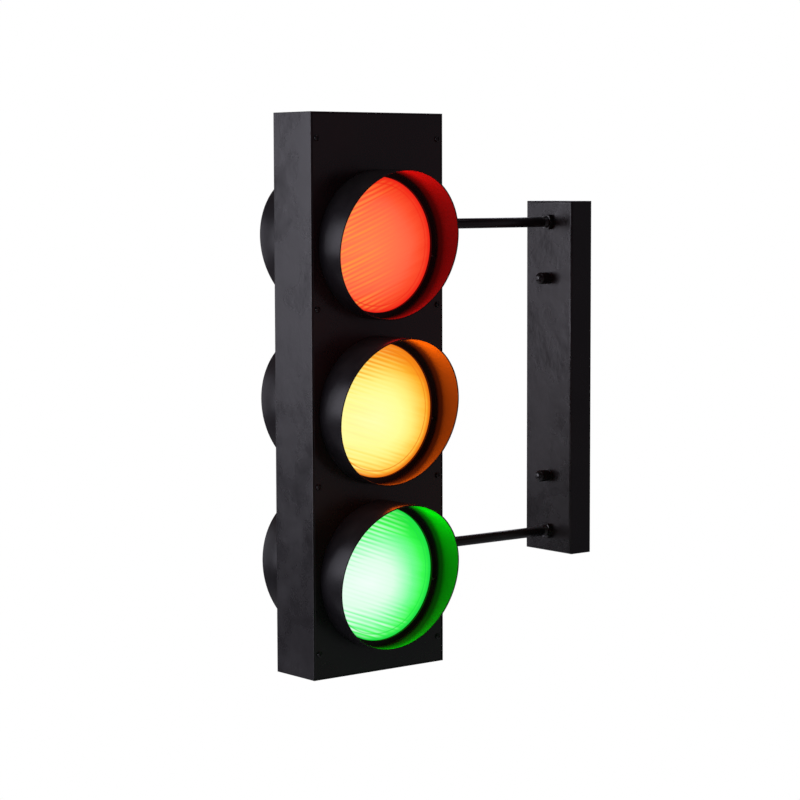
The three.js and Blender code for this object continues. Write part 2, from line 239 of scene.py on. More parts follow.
def turned(name, outline, centre, axis, steps=64, ring=False):
    # An outline of (radius, along) drawn point by point and spun about an axis. A ring's outline closes.
    out = Vector((1, 0, 0)) if axis.y else Vector((0, 0, 1))
    corners = [centre + out * radius + axis * along for radius, along in outline]
    letGo()
    bpy.ops.mesh.primitive_plane_add(size=mm, location=corners[0])
    piece = settle(name)
    pickAll(piece)
    bpy.ops.mesh.merge(type="CENTER")
    path = corners + corners[:1] if ring else corners
    for here, there in zip(path, path[1:]):
        bpy.ops.mesh.extrude_region_move(TRANSFORM_OT_translate={"value": there - here})
    bpy.ops.mesh.select_all(action="SELECT")
    bpy.ops.mesh.spin(steps=steps, angle=fullTurn, center=centre, axis=axis)
    bpy.ops.mesh.select_all(action="SELECT")
    bpy.ops.mesh.remove_doubles(threshold=0.002 * mm)
    bpy.ops.mesh.normals_make_consistent(inside=False)
    letGo()
    return piece


def thread(start, turns, pitch, root, crest, rise=0.5):
    # A thread's flanks as outline points. Its crest comes a share of the pitch after its root.
    points = []
    for number in range(turns):
        along = start + number * pitch
        points += [(root, along), (crest, along + rise * pitch)]
    return points


def copied(piece, name, move=(0, 0, 0), turnAbout=None):
    # A twin with its own mesh, turned half round an upright line where one is given, and moved.
    twin = piece.copy()
    twin.data = piece.data.copy()
    twin.name = name
    twin.data.name = name
    bpy.context.collection.objects.link(twin)
    change = Matrix.Translation(move)
    if turnAbout is not None:
        about = Matrix.Translation(turnAbout)
        change = change @ about @ Matrix.Rotation(math.pi, 4, "Z") @ about.inverted()
    twin.data.transform(change)
    return twin


def laidWire(name, points, radius):
    letGo()
    curve = bpy.data.curves.new(name, "CURVE")
    curve.dimensions = "3D"
    curve.bevel_depth = radius
    curve.bevel_resolution = 5
    curve.resolution_u = 8
    curve.use_fill_caps = True
    spline = curve.splines.new("BEZIER")
    spline.bezier_points.add(len(points) - 1)
    for knot, point in zip(spline.bezier_points, points):
        knot.co = point
        knot.handle_left_type = "AUTO"
        knot.handle_right_type = "AUTO"
    hold(placed(name, curve))
    bpy.ops.object.convert(target="MESH")
    return bpy.context.object


def fitted(piece, body, slotName, material, *nodes):
    # The piece gets its finish, rides on its body and stands for its CAD nodes.
    if not piece.data.materials:
        piece.data.materials.append(material)
    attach(piece, body)
    if nodes:
        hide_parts(*nodes)


def finished(piece, edge, body, slotName, material, *nodes):
    softenEdges(piece, edge)
    smooth(piece)
    fitted(piece, body, slotName, material, *nodes)


def fitCopies(first, firstNode, nodes, name, body, slotName, material):
    # The first piece stands for its own node, and a moved twin of it for each of the others. In the names
    # of pieces and bodies, {end} is the last word of the node's name.
    for node in nodes:
        words = {"node": node, "end": node.rsplit("_", 1)[-1]}
        piece = first
        if node != firstNode:
            piece = copied(first, name.format(**words), middle(node) - middle(firstNode))
        fitted(piece, body.format(**words), slotName, material, node)


# Finishes

lens = inMm(
    radius=61.6, rimWidth=4, rise=3.8, thickness=2.6, seat=3, ribPitch=4, ribHeight=0.32, crossPitch=6,
    edge=0.3, litRadius=60)


def tint(code):
    # A display colour such as 0xff8040 as linear light.
    parts = [(code >> shift & 255) / 255 for shift in (16, 8, 0)]
    linear = [part / 12.92 if part <= 0.04045 else ((part + 0.055) / 1.055) ** 2.4 for part in parts]
    return (*linear, 1)


def feed(tree, socket, value):
    # A socket takes another node's output or a plain value.
    if isinstance(value, bpy.types.NodeSocket):
        tree.links.new(value, socket)
    else:
        socket.default_value = value


def addNode(tree, kind, inputs=None, **settings):
    node = tree.nodes.new(f"ShaderNode{kind}")
    for name, value in settings.items():
        setattr(node, name, value)
    for name, value in (inputs or {}).items():
        feed(tree, node.inputs[name], value)
    return node


def maths(operation, first, second=0.0, third=0.0, clamp=False):
    # This and the next few work in the node tree of the outputs that they are given.
    tree = next(value for value in (first, second, third) if isinstance(value, bpy.types.NodeSocket)).id_data
    inputs = {0: first, 1: second, 2: third}
    return addNode(tree, "Math", inputs, operation=operation, use_clamp=clamp).outputs[0]


def times(first, second):
    return maths("MULTIPLY", first, second)


def vectorMaths(operation, first, second=(0.0, 0.0, 0.0)):
    node = addNode(first.id_data, "VectorMath", {0: first, 1: second}, operation=operation)
    return node.outputs["Value" if operation in ("LENGTH", "DOT_PRODUCT") else "Vector"]


def ranged(value, start, end, top=1.0):
    # Runs from 0 where the value is at its start to the top where it is at its end.
    inputs = {"Value": value, "From Min": start, "From Max": end, "To Max": top}
    return addNode(value.id_data, "MapRange", inputs).outputs[0]


def noise(vector, scale, detail, roughness=0.5):
    inputs = {"Vector": vector, "Scale": scale, "Detail": detail, "Roughness": roughness}
    return addNode(vector.id_data, "TexNoise", inputs).outputs["Fac"]


def parted(vector):
    return addNode(vector.id_data, "SeparateXYZ", {"Vector": vector}).outputs


def blend(share, first, second):
    inputs = {0: share, 6: first, 7: second}
    return addNode(share.id_data, "Mix", inputs, data_type="RGBA").outputs[2]


def facing(tree):
    return addNode(tree, "NewGeometry").outputs["Normal"]


def newGroup(name, inputs):
    tree = bpy.data.node_groups.new(name, "ShaderNodeTree")
    for socket, value in inputs.items():
        kind = "NodeSocketFloat" if isinstance(value, float) else "NodeSocketVector"
        made = tree.interface.new_socket(name=socket, in_out="INPUT", socket_type=kind)
        if value is not None:
            made.default_value = value
    return tree, tree.nodes.new("NodeGroupInput").outputs


def putOut(tree, **results):
    for name in results:
        tree.interface.new_socket(name=name, in_out="OUTPUT", socket_type="NodeSocketFloat")
    end = tree.nodes.new("NodeGroupOutput")
    for name, value in results.items():
        tree.links.new(value, end.inputs[name])
    return tree


def makeGrainGroup():
    # Orange peel and fine grain as a height, and slow blotches as a mask and a roughness.
    tree, given = newGroup("surfaceGrain", {
        "Vector": None, "Peel Scale": 700.0, "Fine Scale": 2600.0, "Blotch Scale": 22.0, "Wave Depth": 0.0,
        "Roughness Low": 0.3, "Roughness High": 0.45})

    def grain(scale, detail):
        return noise(given["Vector"], scale, detail, 0.55)

    skin = maths("MULTIPLY_ADD", grain(given["Fine Scale"], 2.0), 0.35, grain(given["Peel Scale"], 2.0))
    height = maths("MULTIPLY_ADD", grain(48.0, 3.0), given["Wave Depth"], skin)
    blotch = ranged(grain(given["Blotch Scale"], 5.0), 0.36, 0.66)
    span = maths("SUBTRACT", given["Roughness High"], given["Roughness Low"])
    roughness = maths("MULTIPLY_ADD", blotch, span, given["Roughness Low"])
    return putOut(tree, Height=height, Blotch=blotch, Roughness=roughness)


def makeEdgeGroup():
    # A mask that is 1 along corners, broken up so that the rubbing isn't even.
    tree, given = newGroup("edgeWear", {"Vector": None, "Width": 0.6 * mm, "Amount": 1.0})
    rounded = addNode(tree, "Bevel", {"Radius": given["Width"]}, samples=4).outputs[0]
    corner = ranged(vectorMaths("DOT_PRODUCT", rounded, facing(tree)), 0.995, 0.9)
    patchy = ranged(noise(given["Vector"], 160.0, 4.0), 0.42, 0.62)
    worn = maths("MULTIPLY", times(corner, patchy), given["Amount"], clamp=True)
    return putOut(tree, Mask=worn)


def makeDustGroup():
    # A mask of settled dust: on faces that look up, with single specks anywhere.
    tree, given = newGroup("settledDust", {"Vector": None, "Film": 0.3, "Specks": 0.5})
    upward = ranged(parted(facing(tree))["Z"], 0.35, 0.95)
    film = times(times(upward, noise(given["Vector"], 70.0, 5.0)), given["Film"])
    cells = addNode(tree, "TexVoronoi", {"Vector": given["Vector"], "Scale": 210.0}).outputs["Distance"]
    rare = ranged(noise(given["Vector"], 55.0, 1.0), 0.6, 0.66)
    specks = times(times(ranged(cells, 0.09, 0.03), rare), given["Specks"])
    return putOut(tree, Mask=maths("ADD", film, specks, clamp=True))


glowShape = {
    "leftSqueeze": 0.45, "heightStretch": 1.2, "reach": 1.28, "ribCells": (14.0, 14.0, 210.0), "wobble": 4.0,
    "mottle": 0.14, "lineAt": 0.91, "lineStrength": 0.7, "ribDepth": 0.14,
}
glowMasks = {
    "outerThirds": (0.25, 0.8), "leftPart": (0.35, -0.55), "rightFade": (0.6, 0.05), "patch": (0.34, 0.58),
    "edge": (0.94, 0.99), "line": (0.014, 0.004),
}


def makeGlowGroup():
    # How the light spreads over a ribbed lens: Glow runs from 0 at the hot spot to 1 at the far edge.
    tree, given = newGroup("lensGlow", {
        "Vector": None, "Radius": 60 * mm, "Hot Spot": (0.0, 0.0, 0.0), "Rib Turn": 0.3, "Rib Pitch": 5 * mm,
        "Rib Depth": 0.1, "Top Share": 1.0})

    def mask(value, name, top=1.0):
        return ranged(value, *glowMasks[name], top)

    place = parted(given["Vector"])
    flat = addNode(tree, "CombineXYZ", {"X": place["X"], "Z": place["Z"]}).outputs[0]
    radial = maths("DIVIDE", vectorMaths("LENGTH", flat), given["Radius"])
    offSpot = parted(vectorMaths("SUBTRACT", flat, given["Hot Spot"]))
    leftward = times(maths("MINIMUM", offSpot["X"], 0.0), glowShape["leftSqueeze"])
    sideways = maths("ADD", leftward, maths("MAXIMUM", offSpot["X"], 0.0))
    upDown = times(offSpot["Z"], glowShape["heightStretch"])
    away = vectorMaths("LENGTH", addNode(tree, "CombineXYZ", {"X": sideways, "Z": upDown}).outputs[0])
    spread = maths("DIVIDE", away, times(given["Radius"], glowShape["reach"]))
    turning = {"Vector": flat, "Angle": given["Rib Turn"]}
    turnedFlat = addNode(tree, "VectorRotate", turning, rotation_type="Y_AXIS").outputs[0]
    wander = noise(vectorMaths("MULTIPLY", turnedFlat, glowShape["ribCells"]), 1.0, 3.0)
    wobble = times(wander, glowShape["wobble"])
    ribs = maths("DIVIDE", parted(turnedFlat)["Z"], given["Rib Pitch"])
    wave = maths("SINE", maths("MULTIPLY_ADD", ribs, fullTurn, wobble))
    height = maths("DIVIDE", maths("ABSOLUTE", place["Z"]), given["Radius"])
    across = maths("DIVIDE", place["X"], given["Radius"])
    fading = times(mask(height, "outerThirds"), mask(across, "rightFade"))
    where = maths("MAXIMUM", times(fading, given["Top Share"]), mask(across, "leftPart"))
    visible = times(where, mask(wander, "patch"))
    glow = maths("MULTIPLY_ADD", times(wave, visible), given["Rib Depth"], spread)
    uneven = maths("SUBTRACT", wander, 0.5)
    mottled = maths("MULTIPLY_ADD", uneven, glowShape["mottle"], glow, clamp=True)
    crest = maths("MULTIPLY_ADD", wave, -0.5, 0.5)
    brightLine = maths("MULTIPLY", crest, visible, clamp=True)
    offLine = maths("ABSOLUTE", maths("SUBTRACT", radial, glowShape["lineAt"]))
    line = mask(offLine, "line", glowShape["lineStrength"])
    rim = maths("MAXIMUM", mask(radial, "edge"), line)
    return putOut(tree, Glow=mottled, Rim=rim, Streak=brightLine)


grainGroup = makeGrainGroup()
edgeGroup = makeEdgeGroup()
dustGroup = makeDustGroup()
glowGroup = makeGlowGroup()


def newMaterial(name, **values):
    material = bpy.data.materials.new(name)
    material.use_nodes = True
    tree = material.node_tree
    shader = tree.nodes["Principled BSDF"]
    for socket, value in values.items():
        shader.inputs[socket.replace("_", " ")].default_value = value
    places = addNode(tree, "TexCoord").outputs["Object"]
    return material, tree, shader.inputs, places


def useGroup(tree, group, **inputs):
    named = {socket.replace("_", " "): value for socket, value in inputs.items()}
    return addNode(tree, "Group", named, node_tree=group).outputs


def grained(tree, sockets, places, look):
    # Lays a look's grain on a material: its roughness, and its height where the look has a bump.
    grain = useGroup(
        tree, grainGroup, Vector=places, Peel_Scale=look["peel"], Fine_Scale=look.get("fine", 2600.0),
        Blotch_Scale=look.get("blotch", 22.0), Wave_Depth=look.get("waves", 0.0),
        Roughness_Low=look["roughness"][0], Roughness_High=look["roughness"][1])
    tree.links.new(grain["Roughness"], sockets["Roughness"])
    if "bump" in look:
        strength, depth = look["bump"]
        bump = addNode(tree, "Bump", {"Height": grain["Height"], "Strength": strength, "Distance": depth})
        tree.links.new(bump.outputs[0], sockets["Normal"])
    return grain


def blotched(grain, shades):
    return blend(grain["Blotch"], tint(shades[0]), tint(shades[1]))


def paintedSteel(name, look):
    # Powder coat: deep colour, orange peel, corners a little rubbed, dust where it settles.
    material, tree, sockets, places = newMaterial(name, IOR=look["ior"])
    grain = grained(tree, sockets, places, look)
    worn = useGroup(tree, edgeGroup, Vector=places, Width=look["wearWidth"], Amount=look["wear"])
    dusty = useGroup(tree, dustGroup, Vector=places, Film=look["film"], Specks=look["specks"])
    rubbed = blend(worn["Mask"], blotched(grain, look["shades"]), tint(look["rubbed"]))
    tree.links.new(blend(dusty["Mask"], rubbed, tint(look["dust"])), sockets["Base Color"])
    rougher = maths("MULTIPLY_ADD", dusty["Mask"], 0.3, grain["Roughness"], clamp=True)
    tree.links.new(rougher, sockets["Roughness"])
    return material


blackPaint = {
    "ior": 1.55, "shades": (0x151316, 0x1c1a1d), "rubbed": 0x3c3a3d, "dust": 0x8c8880,
    "roughness": (0.2, 0.36), "peel": 620.0, "fine": 2400.0, "bump": (0.35, 0.06 * mm), "waves": 12.0,
    "wearWidth": 0.5 * mm, "wear": 0.5, "film": 0.12, "specks": 0.35,
}
blackOxide = {
    **blackPaint, "shades": (0x0c0b0c, 0x161416), "rubbed": 0x57534f, "roughness": (0.16, 0.3),
    "peel": 1500.0, "bump": (0.12, 0.06 * mm), "waves": 0.0, "wearWidth": 0.3 * mm, "wear": 0.7,
}
visorCoat = {**blackPaint, "ior": 1.35, "roughness": (0.28, 0.36), "peel": 900.0, "waves": 1.0}
paint = paintedSteel("blackPowderCoat", blackPaint)
canopyPaint = paintedSteel("blackCanopyCoat", {**blackPaint, "ior": 1.5, "waves": 16.0})
visorPaint = paintedSteel("blackVisorCoat", visorCoat)
oxide = paintedSteel("blackOxideFastener", blackOxide)
zincLook = {"peel": 900.0, "blotch": 60.0, "roughness": (0.24, 0.42), "bump": (0.15, 0.05 * mm)}
nickelLook = {
    "shades": (0xcfc8b8, 0xb3a995), "roughness": (0.16, 0.34), "peel": 1200.0, "blotch": 110.0,
    "bump": (0.1, 0.05 * mm),
}
opalLook = {
    "shades": (0xf6efe0, 0xfffaf0), "glow": (0xffe9c4, 0xfff3dc), "roughness": (0.1, 0.2), "peel": 300.0,
    "blotch": 40.0,
}
phenolicLook = {
    "shades": (0x171210, 0x241c18), "dust": 0x9a948a, "roughness": (0.28, 0.42), "peel": 500.0,
    "blotch": 90.0, "bump": (0.2, 0.08 * mm),
}
nylonLook = {
    **phenolicLook, "shades": (0xdcd8cb, 0xebe8de), "roughness": (0.42, 0.56), "peel": 900.0, "blotch": 60.0,
}
sheathLook = {
    **phenolicLook, "shades": (0x17171a, 0x232326), "roughness": (0.5, 0.64), "peel": 1400.0,
    "blotch": 120.0, "bump": (0.3, 0.08 * mm),
}
earthLook = {"roughness": (0.45, 0.6), "peel": 1400.0, "blotch": 120.0, "bump": (0.2, 0.05 * mm)}
floorLook = {
    "shades": (0xe9e9e8, 0xf2f2f1), "roughness": (0.7, 0.85), "peel": 40.0, "fine": 200.0, "blotch": 2.0,
}


def platedSteel():
    # Bright zinc with its faint spangle and drawn scratches.
    material, tree, sockets, places = newMaterial("zincPlate", Metallic=1.0)
    grain = grained(tree, sockets, places, zincLook)
    worn = useGroup(tree, edgeGroup, Vector=places, Width=0.4 * mm, Amount=0.8)
    spangle = addNode(tree, "TexVoronoi", {"Vector": places, "Scale": 140.0}).outputs["Color"]
    flake = addNode(tree, "SeparateColor", {"Color": spangle}).outputs[0]
    body = blend(flake, tint(0xb4b7ba), tint(0xc9c8c2))
    stained = blend(grain["Blotch"], body, tint(0xaaa793))
    tree.links.new(blend(worn["Mask"], stained, tint(0xe2e2e0)), sockets["Base Color"])
    return material


def blotchedMaterial(name, look, **values):
    # Two close colours in soft grain, with dust on them or a glow behind them where the look has one.
    material, tree, sockets, places = newMaterial(name, **values)
    grain = grained(tree, sockets, places, look)
    body = blotched(grain, look["shades"])
    if "dust" in look:
        dusty = useGroup(tree, dustGroup, Vector=places, Film=0.25, Specks=0.3)
        body = blend(dusty["Mask"], body, tint(look["dust"]))
    tree.links.new(body, sockets["Base Color"])
    if "glow" in look:
        tree.links.new(blotched(grain, look["glow"]), sockets["Emission Color"])
    return material


def stripedSheath():
    # Earth lead: green sheath with a yellow stripe along its length.
    material, tree, sockets, places = newMaterial("earthSheath")
    grain = grained(tree, sockets, places, earthLook)
    stripe = ranged(parted(facing(tree))["X"], -0.35, -0.25)
    yellow = blotched(grain, (0xd9c31c, 0xe6d233))
    green = blotched(grain, (0x1f6b33, 0x2a7f3f))
    tree.links.new(blend(stripe, yellow, green), sockets["Base Color"])
    return material


# Each lens colour: its lit shades from the hot spot to the far edge, its ribs' bright lines, its rim, the
# pure colour it throws, and how its ribs lie.
lensLooks = {
    "red": {
        "shades": [(0.0, 0xff7c4e), (0.4, 0xff7048), (0.6, 0xff6442), (0.76, 0xfd502e), (0.95, 0xf4321a)],
        "line": 0xff9e3a, "lineShare": 0.8, "rim": 0xf02a1a, "thrown": 0xff0c06, "unlit": 0x5a0a06,
        "ribTurn": 21, "topShare": 0.3, "hotSpot": (-10 * mm, 0, -2 * mm),
    },
    "amber": {
        "shades": [(0.0, 0xffffb0), (0.4, 0xfffd98), (0.56, 0xfdf07e), (0.7, 0xfed256), (0.82, 0xfdb430),
                   (0.96, 0xf88a14)],
        "line": 0xfff08c, "lineShare": 0.65, "rim": 0xf08018, "thrown": 0xff5c02, "unlit": 0x6a3504,
        "ribTurn": -17, "topShare": 0.6, "hotSpot": (-6 * mm, 0, -8 * mm),
    },
    "green": {
        "shades": [(0.0, 0xf2fff8), (0.34, 0xdcffe6), (0.5, 0xaeffc4), (0.66, 0x70fd90), (0.82, 0x3cfb54),
                   (0.96, 0x22ea3c)],
        "line": 0xe6fff0, "lineShare": 0.85, "rim": 0x22e04a, "thrown": 0x00ff0c, "unlit": 0x033d12,
        "ribTurn": -20, "topShare": 0.8, "hotSpot": (-12 * mm, 0, -6 * mm),
    },
}
thrownGain = 1.5


def lensMaterial(colour, look):
    material, tree, sockets, places = newMaterial(
        f"{colour}Lens", Roughness=0.16, IOR=1.49, Emission_Strength=1.0)
    centred = addNode(tree, "Mapping", {"Vector": places, "Location": -lampPlaces[colour]}).outputs[0]
    glow = useGroup(
        tree, glowGroup, Vector=centred, Radius=lens["litRadius"], Hot_Spot=look["hotSpot"],
        Rib_Turn=math.radians(look["ribTurn"]), Rib_Pitch=lens["ribPitch"], Rib_Depth=glowShape["ribDepth"],
        Top_Share=look["topShare"])
    ramp = addNode(tree, "ValToRGB", {"Fac": glow["Glow"]})
    stops = ramp.color_ramp.elements
    while len(stops) < len(look["shades"]):
        stops.new(0.5)
    for stop, (position, shade) in zip(stops, look["shades"]):
        stop.position = position
        stop.color = tint(shade)
    lineShare = times(glow["Streak"], look["lineShare"])
    ribbed = blend(lineShare, ramp.outputs["Color"], tint(look["line"]))
    lit = blend(glow["Rim"], ribbed, tint(look["rim"]))
    seen = addNode(tree, "LightPath").outputs["Is Camera Ray"]
    thrown = (*[thrownGain * part for part in tint(look["thrown"])[:3]], 1)
    tree.links.new(blend(seen, thrown, lit), sockets["Emission Color"])
    # The base colour runs from the lens colour at the hot spot to near black at the far edge, following the
    # glow: painted shade of the bulb's fall-off.
    unlit = blend(glow["Glow"], tint(look["unlit"]), tint(0x050505))
    tree.links.new(unlit, sockets["Base Color"])
    return material


zinc = platedSteel()
nickel = blotchedMaterial("nickelCap", nickelLook, Metallic=1.0)
phenolic = blotchedMaterial("blackPhenolic", phenolicLook)
nylon = blotchedMaterial("blockNylon", nylonLook)
sheath = blotchedMaterial("cableSheath", sheathLook)
earthSheath = stripedSheath()
opal = blotchedMaterial("opalGlass", opalLook, Emission_Strength=1.6)
lensMaterials = {colour: lensMaterial(colour, look) for colour, look in lensLooks.items()}
print("finishes made")


# Camera, stage and lights

cameraPlan = {
    "place": (-1.594, -1.7202, 0.1876), "azimuth": -38.85, "elevation": 5.151, "roll": -0.162, "lens": 109.2,
}


def makeCamera():
    data = bpy.data.cameras.new("camera")
    data.lens = cameraPlan["lens"]
    data.sensor_width = 36
    camera = placed("camera", data)
    around = Matrix.Rotation(math.radians(cameraPlan["azimuth"]), 4, "Z")
    tilt = Matrix.Rotation(math.radians(90 - cameraPlan["elevation"]), 4, "X")
    roll = Matrix.Rotation(math.radians(cameraPlan["roll"]), 4, "Z")
    camera.matrix_world = Matrix.Translation(cameraPlan["place"]) @ around @ tilt @ roll
    bpy.context.scene.camera = camera


def makeStage():
    letGo()
    bpy.ops.mesh.primitive_circle_add(vertices=96, radius=2.8, fill_type="NGON", location=(0, 0, -1.2))
    floor = settle("floor")
    material = blotchedMaterial("paleFloor", floorLook, Emission_Strength=1.0)
    # The floor looks pale without lighting the lamp from below.
    tree = material.node_tree
    watched = addNode(tree, "LightPath").outputs["Is Camera Ray"]
    lift = blend(watched, (0, 0, 0, 1), (0.66, 0.66, 0.66, 1))
    tree.links.new(lift, tree.nodes["Principled BSDF"].inputs["Emission Color"])
    floor.data.materials.append(material)
    world = bpy.data.worlds.new("studio")
    world.use_nodes = True
    bpy.context.scene.world = world
    tree = world.node_tree
    seen = addNode(tree, "LightPath").outputs["Is Camera Ray"]
    height = parted(addNode(tree, "TexCoord").outputs["Generated"])["Z"]
    overhead = ranged(height, 0.05, 0.5)
    room = blend(overhead, (0.112, 0.103, 0.118, 1), (0.03, 0.028, 0.032, 1))
    tree.links.new(blend(seen, room, (1, 1, 1, 1)), tree.nodes["Background"].inputs["Color"])


def addLamp(name, place, turn, size, watts, colour, spread=180):
    # A lamp with two sizes is a rectangle, and one with a single size a disc.
    data = bpy.data.lights.new(name, "AREA")
    data.shape = "RECTANGLE" if len(size) == 2 else "DISK"
    data.size = size[0]
    data.size_y = size[-1]
    data.energy = watts
    data.color = colour
    data.spread = math.radians(spread)
    lamp = placed(name, data)
    lamp.location = place
    lamp.rotation_euler = turn
    lamp.visible_camera = False
    return lamp


softboxes = [
    # name, direction from the head, distance, size, watts
    ("leftRearSoftbox", (-0.81, 0.586, 0.165), 2.2, (1.1, 1.28), 10.4),
    ("rearSoftbox", (-0.3, 0.95, 0.06), 2.2, (0.6, 1.1), 2),
    ("leftPanel", (-1.0, 0.12, 0.1), 2.2, (1.7, 1.2), 17),
    ("rightRearFill", (0.7, 0.7, 0.35), 2.6, (1.2, 1.2), 5),
    ("topFill", (0.1, -0.2, 1.0), 2.2, (1.5, 1.5), 2.5),
]
coolWhite = (0.985, 0.965, 1.1)
throws = {"red": (1, 0.005, 0.003), "amber": (1, 0.13, 0.001), "green": (0.0, 1, 0.003)}
throwLamp = {
    "size": 112 * mm, "spread": 112, "away": 0.6 * mm, "watts": {"red": 0.28, "amber": 0.56, "green": 0.42},
}
spillLamp = {"size": 230 * mm, "away": 110 * mm, "watts": {"red": 0.1, "amber": 0.13, "green": 0.06}}


def lightHoods():
    # The lit lenses throw their colour on the hoods, and a little spills back on the box's face.
    for side, out in sides.items():
        for colour, shade in throws.items():
            low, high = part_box(f"lens_{side}_{colour}")
            face = (low.y if out < 0 else high.y) + out * throwLamp["away"]
            addLamp(
                f"throw_{side}_{colour}", atY(lampPlaces[colour], face), (out * quarterTurn, 0, 0),
                [throwLamp["size"]], throwLamp["watts"][colour], shade, throwLamp["spread"])
            spill = addLamp(
                f"spill_{side}_{colour}", atY(lampPlaces[colour], face + out * spillLamp["away"]),
                (-out * quarterTurn, 0, 0), [spillLamp["size"]], spillLamp["watts"][colour], shade)
            spill.visible_glossy = False


makeCamera()
makeStage()
for name, direction, distance, size, watts in softboxes:
    towards = Vector(direction).normalized()
    turn = towards.to_track_quat("Z", "Y").to_euler()
    addLamp(name, headMiddle + towards * distance, turn, size, watts, coolWhite)
lightHoods()
bpy.context.scene.view_settings.view_transform = "Standard"
print("camera, stage and lights set")


# Head: folded box, cover panel and its screws

housing = inMm(
    sheet=1.2, bend=1.4, weld=0.6, opening=60.2, armHole=5.05, returnWidth=5, lugReach=11.2, lugHeight=14,
    edge=0.18, frontRound=0.4)
cover = inMm(screwHole=1.8, sideRound=0.9, edge=0.25)
panelScrews = [f"panel_screw_{number}" for number in range(1, 9)]
justOver = 0.01 * mm


def makeReturn():
    # The frame behind the panel: a sheet cut by lines, its window taken out, its lugs left.
    inside = housing["sheet"] - 0.1 * mm
    low = boxLow + Vector((inside, 0, inside))
    high = boxHigh - Vector((inside, 0, inside))
    front = panelHigh.y + 0.3 * mm
    centre = atY(headMiddle, front)
    letGo()
    bpy.ops.mesh.primitive_plane_add(size=1, location=centre, rotation=(quarterTurn, 0, 0))
    sheet = settle("return_frame")
    pickAll(sheet)
    bpy.ops.transform.resize(value=(high.x - low.x, 1, high.z - low.z), center_override=centre)
    lugRows = sorted({round(middle(name).z, 5) for name in panelScrews})
    reach = housing["returnWidth"]
    lug = housing["lugReach"]
    half = housing["lugHeight"] / 2
    upright = [low.x + reach, low.x + lug, high.x - lug, high.x - reach]
    level = [low.z + reach, high.z - reach] + [row + offset for row in lugRows for offset in (-half, half)]
    for x in upright:
        score(sheet, (x, front, 0), (1, 0, 0))
    for z in level:
        score(sheet, (headMiddle.x, front, z), (0, 0, 1))

    def inWindow(face):
        place = face.calc_center_median()
        inFrame = not (upright[0] < place.x < upright[3] and level[0] < place.z < level[1])
        inLug = not upright[1] < place.x < upright[2] and any(abs(place.z - row) < half for row in lugRows)
        return not inFrame and not inLug

    pick(sheet, "faces", inWindow)
    bpy.ops.mesh.delete(type="FACE")
    finishWith(sheet, "SOLIDIFY", thickness=housing["sheet"], offset=-1)
    return sheet


def isLongFrontEdge(edge):
    place = edgeMiddle(edge)
    atSide = min(abs(place.x - boxLow.x), abs(place.x - boxHigh.x)) < justOver
    return atSide and place.y < boxLow.y + justOver and runsAlong(edge, 2) and edge.calc_length() > 0.4


def makeHousing():
    folds = [
        (lambda edge: edgeMiddle(edge).y > boxHigh.y - mm, housing["bend"], 5),
        (lambda edge: runsAlong(edge, 1) and edge.calc_length() > 20 * mm, housing["weld"], 3),
    ]
    shell = foldedSheet(
        "housing_folded_box", boxLow, boxHigh, lambda face: face.normal.y < -0.9, folds, housing["sheet"])
    bendEdges(shell, isLongFrontEdge, housing["frontRound"], 4)
    rear = (boxHigh.y - 5 * mm, boxHigh.y + 5 * mm)
    side = (boxHigh.x - 5 * mm, boxHigh.x + 5 * mm)
    arms = [middle(f"arm_tube_{level}") for level in levels]
    holes = drills(lampPlaces.values(), housing["opening"], atY, *rear, 128)
    cutWith(shell, holes + drills(arms, housing["armHole"], atX, *side, 48))
    softenEdges(shell, housing["edge"])
    frameSheet = makeReturn()
    softenEdges(frameSheet, housing["edge"])
    shell = joined([shell, frameSheet])
    smooth(shell)
    fitted(shell, "lamp", "black_paint", paint, "housing_shell")


def makePanel():
    panel = addBlock("front_cover_panel", panelLow, panelHigh)
    through = (panelLow.y - 3 * mm, panelHigh.y + 3 * mm)
    holes = drills(lampPlaces.values(), housing["opening"], atY, *through, 128)
    holes += drills([middle(name) for name in panelScrews], cover["screwHole"], atY, *through, 24)
    bendEdges(
        panel, lambda edge: runsAlong(edge, 2) and edgeMiddle(edge).y < panelLow.y + justOver,
        cover["sideRound"], 4)
    cutWith(panel, holes)
    finished(panel, cover["edge"], "front_panel_set", "black_paint", paint, "front_panel")


panScrew = {
    "headRadius": 2.75 * mm, "headHeight": 1.8 * mm, "shaft": 1.45 * mm, "root": 0.84, "pitch": 0.5 * mm,
    "recess": 1.1 * mm, "slotLength": 0.52, "slotWidth": 0.13,
}


def makePanScrew(name, under, length, scale=1.0):
    # Pan head with a cross recess, facing the front. Its head's underside is at the given point.
    radius = panScrew["headRadius"] * scale
    height = panScrew["headHeight"] * scale
    shaft = panScrew["shaft"] * scale
    root = shaft * panScrew["root"]
    pitch = panScrew["pitch"]
    outline = [(0, -length), (shaft * 0.7, -length)]
    outline += thread(0.5 * mm - length, int((length - 1.2 * mm) / pitch), pitch, root, shaft)
    outline += [(root, -0.6 * mm), (shaft, -0.4 * mm), (shaft, 0)]
    outline += [(radius * 0.94, 0), (radius, height * 0.12)]
    for part in (0.35, 0.55, 0.72, 0.88):
        outline.append((radius * math.cos(part * quarterTurn) ** 0.45, height * (0.12 + 0.88 * part ** 0.8)))
    outline.append((0, height))
    screw = turned(name, outline, under, forwards, steps=32)
    top = under + forwards * height
    lengthwise = radius * panScrew["slotLength"]
    crosswise = radius * panScrew["slotWidth"]
    for wide, tall in ((lengthwise, crosswise), (crosswise, lengthwise)):
        reach = Vector((wide, panScrew["recess"] * scale, tall))
        cutWith(screw, [addBlock("recess", top - reach, top + reach)])
    softenEdges(screw, 0.06 * mm, segments=1, limit=50)
    smooth(screw, 40)
    return screw


